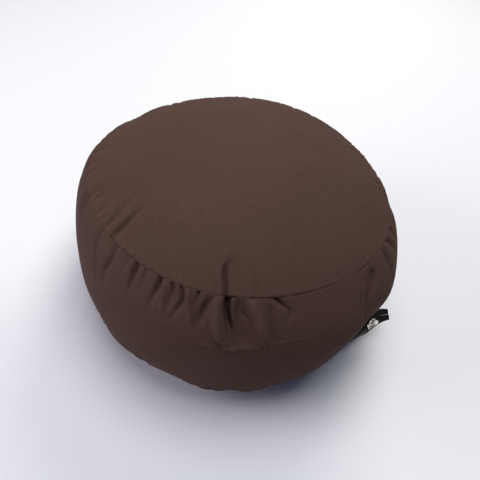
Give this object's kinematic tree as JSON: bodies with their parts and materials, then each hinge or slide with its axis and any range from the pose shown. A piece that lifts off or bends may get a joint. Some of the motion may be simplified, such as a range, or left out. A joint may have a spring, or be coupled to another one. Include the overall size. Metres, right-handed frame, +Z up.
{
  "type": "meditation cushion",
  "caption": "Round filled floor cushion with a crowned top, a gathered side band, a drawn-in seam at each edge and a zip whose loose end stands out of the lower seam.",
  "frame": {"origin": "middle of the flat underside, on the surface that the cushion rests on", "axes": "+Z up through the crown; the front, where the deep fold is, faces -Y; the loose end of the zip is at the right, towards +X"},
  "size_m": [0.3404, 0.3346, 0.183],
  "materials": {
    "cover_cloth": "plain-woven dark brown cotton",
    "zip_tape": "black woven polyester tape",
    "zip_coil": "black nylon coil",
    "zip_metal": "bright nickel plate on zinc"
  },
  "bodies": {
    "root": {"cushion": "cover_cloth", "zip_tape_upper": "zip_tape", "zip_tape_lower": "zip_tape", "zip_coil": "zip_coil", "zip_slider": "zip_metal", "zip_pull": "zip_metal"}
  },
  "joints": []
}
